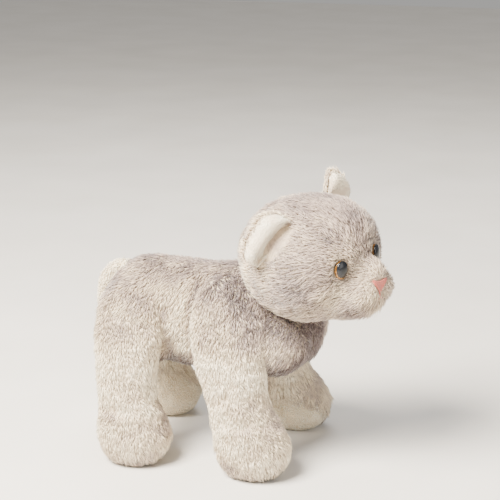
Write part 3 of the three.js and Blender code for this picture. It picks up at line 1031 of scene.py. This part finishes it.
def make_sole(name, leg):
    """The cream sole: a thin pad over the lowest part of the paw, closed all round."""
    points, normals = skin_of(leg)
    under = sole_depth(name, points) > -0.3
    rows = [tuple(face.vertices) for face in leg.data.polygons]
    faces = [row for row in rows if all(under[index] for index in row)]
    used = sorted({index for face in faces for index in face})
    order = {old: new for new, old in enumerate(used)}
    lifted = points[used] + normals[used] * SOLE_LIFT * MM
    lifted[:, 2] = np.maximum(lifted[:, 2], 0)
    faces = [tuple(order[index] for index in face) for face in faces]
    return thicken(mesh_object(name + "_sole_velour", lifted, faces), SOLE_THICK, -1)


def sole_style(points, normals, rng):
    at = toy(points)
    # the front soles are painted paler, as painted light
    tone = 0.6 + 0.25 * np.clip(at[:, 0] / 20, 0, 1) + 0.5 * (cloudy(at, 9, 7) - 0.5)
    tone -= 0.9 * near(at, (-34, 25, 30), (1.7, 9, 1.7))  # a speck on the far hind sole
    return pile(points, rng, array(0.5, 0, -0.6), tone, SOLE_NAP, 0.7, 32, 0.5, 0.5, at[:, 2] > 0.8)


# ---- head

def make_head():
    shapes = [ball((0, 0, 0), array(*SKULL) - PILE_ROOM, SKULL_SQUARE, 28, 48)]
    (x, y, z), size = MUZZLE
    for middle, half in (CHIN, BRIDGE, ((x, -y, z), size), ((x, y, z), size)):
        shapes.append(ball(middle, array(*half) - PILE_ROOM))
    skin = merged("head_plush", [placed(shape, place_on_head) for shape in shapes])
    fuse(skin, voxel=2, smoothing=6)
    at = on_head(points_of(skin))
    low_back = np.clip((8 - at[:, 0]) / 30, 0, 1) * np.clip((6 - at[:, 2]) / 24, 0, 1)
    at -= unit(at * array(0.7, 0.6, 1)) * (TUCK * low_back)[:, None]
    at[:, 2] += JAW_FLAT * np.maximum(JAW_Z - at[:, 2], 0)
    move_points(skin, place_on_head(at))
    plump(skin, voxel=3, reach=1)
    subdivide(skin, levels=1)
    for name in SIDES:
        eye, out = eye_seat(name)
        sew(skin, [eye - out * MM, eye + out * MM], EYE_DENT, EYE_DENT_WIDTH)
    half_y, half_z = SKULL[1] - 4, SKULL[2] - 4
    ring = oval_ring((HEAD_SEAM_X, 0, 0), half_y, half_z, (0, 1, 0), (0, 0, 1), SKULL_SQUARE, 48)
    seam = np.vstack([ring, ring[:1]])
    for line, depth, width in ((seam, 1.2, 2.4), (CHEEK_FOLD, 1.1, 2.2), (MOUTH_FOLD, 2.0, 3)):
        sew(skin, place_on_head(line), depth, width)
    return skin


def eye_seat(name):
    """The middle of an eye's front, a little below the CAD pupil, and the way that it looks."""
    low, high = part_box(name + "_eye_pupil")
    out = skull_normal(array(*EYE_WAY[name]) * array(1, SIDES[name], 1))
    return np.array((low + high) / 2) - array(0, 0, EYE_DROP) * MM, along(out)


def head_style(points, normals, rng):
    at = on_head(points)
    away = unit(at - array(52, 0, -6))
    lean = along(away + array(-0.15, 0, -0.25))
    tone = 0.42 + 0.4 * (cloudy(at, 11, 9) - 0.5) - 0.14 * np.clip(normals[:, 2], 0, 1)
    tone += patches(at, HEAD_PATCHES_AND_SHADE)
    tone -= 0.4 * near(at, (34, -22, 25), (5, 6, 6)) * (streaky(at, away, 1.8, 3, 11) > 0.6)
    rim = crease(at[:, 0] - HEAD_SEAM_X, 4) * np.clip((12 - at[:, 2]) / 8, 0, 1)
    tone += 0.3 * rim
    short = near(at, (50, 0, -12), (16, 24, 18))
    chin = near(at, (53, -5, -21), (8, 12, 6))
    keep = np.ones(len(at), bool)
    for name, bare in EYE_BARE.items():
        eye, out = eye_seat(name)
        gap = (points - eye) / MM
        gap -= (gap @ out)[:, None] * out
        gap[:, :2] /= EYE_SQUEEZE
        keep &= np.linalg.norm(gap, axis=1) > bare
    keep &= nose_share(points) > 1
    keep &= ~in_ear(at)
    length = PILE * (1 - 0.3 * short + 0.3 * rim + 0.6 * chin)
    return pile(points, rng, lean, tone, length, PILE_WIDTH * (1 - 0.15 * short), 23, 0.14, 0.65, keep)


def in_ear(at):
    """True for points of the head, in its own frame, that an ear's hollow covers."""
    covered = np.zeros(len(at), bool)
    for ear in EARS.values():
        top, low, way = array(*ear["top"]), array(*ear["low"]), unit(array(*ear["way"]))
        run = low - top
        share = (at - top) @ run / (run @ run)
        off = at - top - share[:, None] * run
        beyond = off @ way
        aside = np.linalg.norm(off - beyond[:, None] * way, axis=1)
        covered |= (share > -0.02) & (share < 1.02) & (beyond > -4) & (beyond < 10) & (aside < 9)
    return covered


def nose_share(points):
    """Under 1 inside the triangle of the nose, seen from in front."""
    at = on_head(points)
    across, up = ((at[:, 1:] - array(*NOSE)) / array(*NOSE_SIZE) * 2).T
    width = np.clip((up + 1.15) / 1.9, 0.05, 1)
    inside = np.maximum(np.abs(across) / width, np.abs(up))
    return np.where(at[:, 0] > 40, inside, 9)


# ---- eyes, nose and mouth

def lathe(profile, at, out, up, stretch=(1, 1), turns=40):
    """A closed round shape, turned about out from (radius, height) pairs, wider or taller by stretch.

    Its outline starts and ends on the axis.
    """
    side = unit(np.cross(up, out))
    up = unit(np.cross(out, side))
    rows = []
    for radius, height in profile[1:-1]:
        angle = 2 * math.pi * np.arange(turns)[:, None] / turns
        across = np.cos(angle) * side * stretch[0] + np.sin(angle) * up * stretch[1]
        rows.append(at + (across * radius + out * height) * MM)
    faces = grid_faces(len(rows), turns)
    count = len(rows) * turns
    for turn in range(turns):
        beside = (turn + 1) % turns
        faces.append((count, beside, turn))
        faces.append((count + 1, count - turns + turn, count - turns + beside))
    ends = [at + out * profile[0][1] * MM, at + out * profile[-1][1] * MM]
    return np.vstack(rows + [ends]), faces


def make_eye(name, amber, black):
    at, out = eye_seat(name)
    up = along((0, 0, 1))
    eye = painted(mesh_object(name + "_eye_amber", *lathe(EYE_DOME, at, out, up, (EYE_SQUEEZE, 1))), amber)
    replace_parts(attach(eye, "head"), name + "_eye_button")
    nosewards = along((0, -SIDES[name], 0))
    nosewards = unit(nosewards - (nosewards @ out) * out)
    middle = at + (nosewards * PUPIL_OFF[name][0] + up * PUPIL_OFF[name][1]) * MM
    outline = [(radius * PUPIL[0], height) for radius, height in EYE_LENS]
    lens = lathe(outline, middle, out, up, (1, PUPIL[1] / PUPIL[0]))
    pupil = painted(mesh_object(name + "_eye_pupil_lens", *lens), black)
    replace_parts(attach(pupil, "head"), name + "_eye_pupil")


def walk(path, hint):
    """Each point of a path with its share of the way, and two directions square to the path there."""
    last = len(path) - 1
    for number, point in enumerate(path):
        ahead = unit(path[min(number + 1, last)] - path[max(number - 1, 0)])
        side = unit(np.cross(ahead, hint))
        yield point, number / last, side, np.cross(ahead, side)


def tube(path, radius, turns=8):
    """A closed tube along a path, thinner at its ends. path is in the row frame."""
    rings = []
    for point, share, side, across in walk(path, (0.2, 0.3, 1)):
        thick = radius * (0.45 if share in (0, 1) else 1)
        angle = 2 * math.pi * np.arange(turns)[:, None] / turns
        rings.append(point + (np.cos(angle) * side + np.sin(angle) * across) * thick * MM)
    points, faces = loft(rings)
    return points, [tuple(reversed(face)) for face in faces]


def on_face(tree, marks, lift):
    """Points (y, z) of the head's frame, put on the front of the face and lifted off it."""
    back = along((-1, 0, 0))
    found = []
    for y, z in marks:
        at, normal, _, _ = tree.ray_cast(Vector(place_on_head((90, y, z))), Vector(back))
        found.append(np.array(at + normal * lift * MM))
    return np.array(found)


def make_nose(head, pink):
    """Satin stitches side by side across the nose, wide above and narrow below, hugging the muzzle."""
    mesh = head.data
    tree = BVHTree.FromPolygons([v.co for v in mesh.vertices], [tuple(p.vertices) for p in mesh.polygons])
    shapes = []
    for row in range(NOSE_STITCHES):
        share = row / (NOSE_STITCHES - 1)
        height = NOSE[1] + NOSE_SIZE[1] * (0.5 - share)
        half = NOSE_SIZE[0] / 2 * (1 - share ** 1.6 * 0.78) * (0.82 if row == 0 else 1)
        across = np.linspace(-half, half, 9)
        dip = 1.2 * (1 - (across / half) ** 2) * (1 - share)
        marks = np.stack([NOSE[0] + across, height - dip], 1)
        shapes.append(tube(on_face(tree, marks, NOSE_LIFT), THREAD_R))
    nose = painted(merged("nose_stitching", shapes), pink)
    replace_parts(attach(nose, "head"), "nose_embroidery")
    down = [(NOSE[0], z) for z in np.linspace(MOUTH_TOP, MOUTH_LOW, 6)]
    lips = [(NOSE[0] + y, MOUTH_LOW - 0.3 * abs(y)) for y in np.linspace(-4, 4, 9)]
    lines = [tube(on_face(tree, marks, MOUTH_LIFT), THREAD_R) for marks in (down, lips)]
    mouth = painted(merged("mouth_stitching", lines), pink)
    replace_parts(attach(mouth, "head"), "mouth_stitch")


# ---- ears

def ear_sheet(side, section):
    """A grid of points for one face of an ear, smoothed along and across."""
    ear = EARS[side]
    top, low = array(*ear["top"]), array(*ear["low"])
    way = unit(array(*ear["way"]))
    base = unit(low - top)
    way = unit(way - 0.6 * (way @ base) * base)
    front = unit(np.cross(base, way))
    if front[0] < 0:
        front = -front
    rows = []
    for share, tall, full, curl in spline(ear["lie"], 5):
        row = []
        for reach, ahead in spline(section, 4):
            point = top + (low - top) * share + way * reach * ear["height"] * tall
            row.append(point + front * (ahead * full * ear["roll"] + curl * reach))
        rows.append(row)
    return np.array(rows)


def spline(rows, steps):
    """A smooth run of rows through the given ones."""
    rows = np.asarray(rows, float)
    padded = np.vstack([2 * rows[0] - rows[1], rows, 2 * rows[-1] - rows[-2]])
    out = []
    for i in range(1, len(padded) - 2):
        a, b, c, d = padded[i - 1:i + 3]
        for step in range(steps):
            t = step / steps
            bend = (2 * a - 5 * b + 4 * c - d) * t * t + (3 * b - a - 3 * c + d) * t ** 3
            out.append(0.5 * (2 * b + (c - a) * t + bend))
    out.append(rows[-1])
    return np.array(out)


def closed_sheet(name, rows, thickness):
    """A closed sheet over a grid of points."""
    points = place_on_head(rows.reshape(-1, 3))
    return thicken(mesh_object(name, points, grid_faces(*rows.shape[:2], wrap=False)), thickness, 0)


def make_ear(side, lining_paint, backing, plush, lining_tones):
    ear = EARS[side]
    lining = closed_sheet(side + "_ear_lining_velour", ear_sheet(side, ear["front"]), EAR_FABRIC)
    back = closed_sheet(side + "_ear_back_plush", ear_sheet(side, EAR_BACK), EAR_FABRIC)
    painted(lining, lining_paint)
    painted(back, backing)
    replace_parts(lining, side + "_ear_lining")
    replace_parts(back, side + "_ear_back")
    away = unit(along(ear["way"]))

    def nap(points, normals, rng):
        beyond = (on_head(points) - array(*ear["top"])) @ unit(array(*ear["way"]))
        tone = 0.86 + 0.2 * (cloudy(toy(points), 5, 12) - 0.5)
        # darker in the hollow by the base: the lining's own mauve under painted shade
        tone -= 0.7 * np.clip((ear["pocket"] - beyond) / 3, 0, 1)
        return pile(points, rng, away, tone, EAR_NAP, 0.5, 30, 0.5, 0.4, beyond > 3)

    def fur(points, normals, rng):
        at = on_head(points)
        tone = 0.62 + 0.3 * (cloudy(at, 4, 13) - 0.5)
        return pile(points, rng, away, tone, PILE * 0.85, PILE_WIDTH, 26, 0.25)

    nap_mesh = coat(side + "_ear_lining_nap", lining, nap, lining_tones, seed=31, spacing=0.7)
    fur_mesh = coat(side + "_ear_back_pile", back, fur, plush, seed=32, spacing=1.0)
    finish_pieces("ear_" + side, "cream_plush", 0.3, lining, nap_mesh)
    finish_pieces("ear_" + side, "grey_plush", 0.3, back, fur_mesh)


# ---- tail

def make_tail():
    rings = []
    for point, share, side, across in walk(spline(TAIL, 5), (0, 1, 0.01)):
        thick = TAIL_R * math.sqrt(max(0.05, 1 - max(0, (share - 0.9) / 0.1) ** 2))
        rings.append(place(oval_ring(point, thick, thick, side, across, turns=20)))
    skin = merged("tail_velour", [loft(rings)])
    fuse(skin, voxel=1.5, smoothing=3)
    return skin


def tail_style(points, normals, rng):
    tone = 0.6 + 0.4 * (cloudy(toy(points), 6, 14) - 0.5)
    return pile(points, rng, array(0, 0.05, -1), tone, TAIL_NAP, PILE_WIDTH, 26, 0.3, 0.6)


# ---- putting it together

def paint_filling(nodes):
    """Materials for what is inside: it shows only if a seam is opened."""
    fibre, pellets, washer = filling_paint(), pellet_paint(), washer_paint()
    endings = {"stuffing": fibre, "pellets": pellets, "bag": pellets, "washer": washer}
    for name, node in nodes.items():
        for ending, paint in endings.items():
            if name.endswith(ending):
                node.data.materials.clear()
                node.data.materials.append(paint)


make_camera()
make_room()
plush = [strand_paint(f"plush_tone_{number}", tone) for number, tone in enumerate(PLUSH_TONES)]
cream = [strand_paint(f"cream_tone_{number}", tone) for number, tone in enumerate(CREAM_TONES)]
backing = plush_paint()
velour = velour_paint("sole_velour", (206, 188, 154), (232, 216, 184), (244, 233, 208))
ear_velour = velour_paint("ear_velour", (228, 206, 184), (246, 234, 212), (252, 246, 232))

torso = painted(make_torso(), backing)
torso_pile = coat("torso_pile", torso, torso_style, plush, seed=1, spacing=1.05)
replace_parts(torso, "torso_cover_right", "torso_cover_left", "belly_gusset")
finish_pieces("torso", "grey_plush", 0.8, torso, torso_pile)

neck = painted(make_neck(), backing)
neck_pile = coat("neck_pile", neck, neck_style, plush, seed=2, spacing=1.0)
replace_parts(neck, "neck_cover")
finish_pieces("neck", "grey_plush", 0.8, neck, neck_pile)

head = painted(make_head(), backing)
head_pile = coat("head_pile", head, head_style, plush, seed=3, spacing=0.95)
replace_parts(head, "head_face_cover", "head_back_cover", "head_stuffing")
finish_pieces("head", "grey_plush", 0.9, head, head_pile)
amber, black = amber_paint(), black_paint()
for side in SIDES:
    make_eye(side, amber, black)
make_nose(head, thread_paint("pink_satin", PINK_TONES))
pocket = [strand_paint(f"pocket_shade_tone_{number}", tone) for number, tone in enumerate(POCKET_SHADE_TONES)]
for side in EARS:
    make_ear(side, ear_velour, backing, plush, pocket + cream)

for number, name in enumerate(STANCE):
    leg = painted(make_leg(name), backing)
    leg_pile = coat("leg_" + name + "_pile", leg, leg_style(name), plush, seed=10 + number, spacing=0.9)
    sole = painted(make_sole(name, leg), velour)
    nap = coat(name + "_sole_nap", sole, sole_style, cream, seed=20 + number, spacing=0.95)
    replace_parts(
        leg, name + "_leg_outer_panel", name + "_leg_inner_panel", name + "_leg_stuffing",
        name + "_paw_pellets",
    )
    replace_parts(sole, name + "_paw_sole")
    for piece in (leg, leg_pile):
        high, low = (place((leg_x(name), 0, height)) for height in LEG_BEND)
        tuple(high)
        tuple(low)
        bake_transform(piece)
    finish_pieces("leg_" + name, "cream_plush", 0.5, sole, nap)

tail = painted(make_tail(), velour)
tail_nap = coat("tail_nap", tail, tail_style, cream, seed=5, spacing=1.1)
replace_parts(tail, "tail_cover", "tail_stuffing")
finish_pieces("tail", "cream_plush", 0.5, tail, tail_nap)

paint_filling(frame["nodes"])

low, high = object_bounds()
{"cad": [list(cad_low), list(cad_high)], "visual": [list(low), list(high)]}
